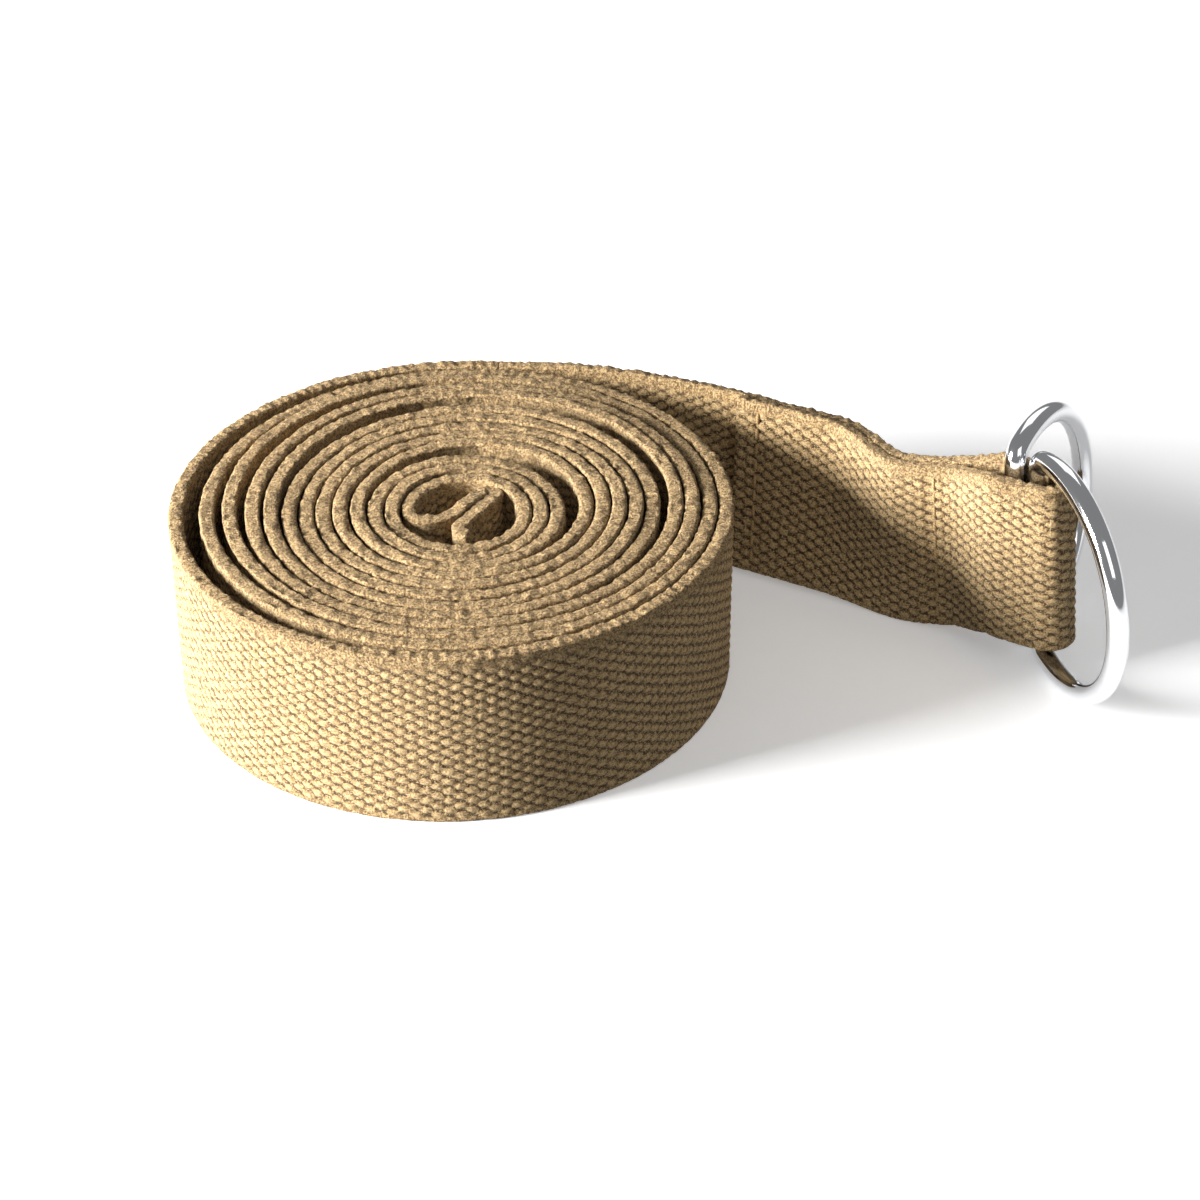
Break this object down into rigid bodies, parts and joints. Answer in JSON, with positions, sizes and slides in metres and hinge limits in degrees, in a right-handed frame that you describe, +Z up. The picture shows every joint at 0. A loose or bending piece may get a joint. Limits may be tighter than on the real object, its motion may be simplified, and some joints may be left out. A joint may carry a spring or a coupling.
{
  "type": "stretching strap",
  "caption": "Webbing strap for stretching exercises, wound into a loose roll, with D-rings in a sewn end loop to cinch it.",
  "frame": {"origin": "middle of the roll's core, on the surface that the roll lies on", "axes": "+Z up out of that surface along the webbing's width, +X towards the end with the rings, +Y towards the side that the tail leaves the roll from"},
  "size_m": [0.1937, 0.1174, 0.0528],
  "materials": {
    "webbing": "matte ribbed cotton weave",
    "ring": "polished",
    "thread": "matte"
  },
  "bodies": {
    "strap": {"strap_roll": "webbing", "strap_tail": "webbing", "ring_loop": "webbing", "loop_tab": "webbing", "loop_seam": "thread", "tab_seam": "thread", "hem_seam": "thread"},
    "front_d_ring": {"front_ring": "ring"},
    "rear_d_ring": {"rear_ring": "ring"}
  },
  "joints": [
    {"name": "front_ring_swing", "type": "hinge", "parent": "strap", "child": "front_d_ring", "pos_m": [0.11754, 0.00293, 0.02593], "axis": [-0.086, 0.0171, 0.9961], "range_deg": [-30, 100]},
    {"name": "rear_ring_swing", "type": "hinge", "parent": "strap", "child": "rear_d_ring", "pos_m": [0.11313, 0.00534, 0.02605], "axis": [-0.086, 0.0171, 0.9961], "range_deg": [-15, 60]}
  ]
}
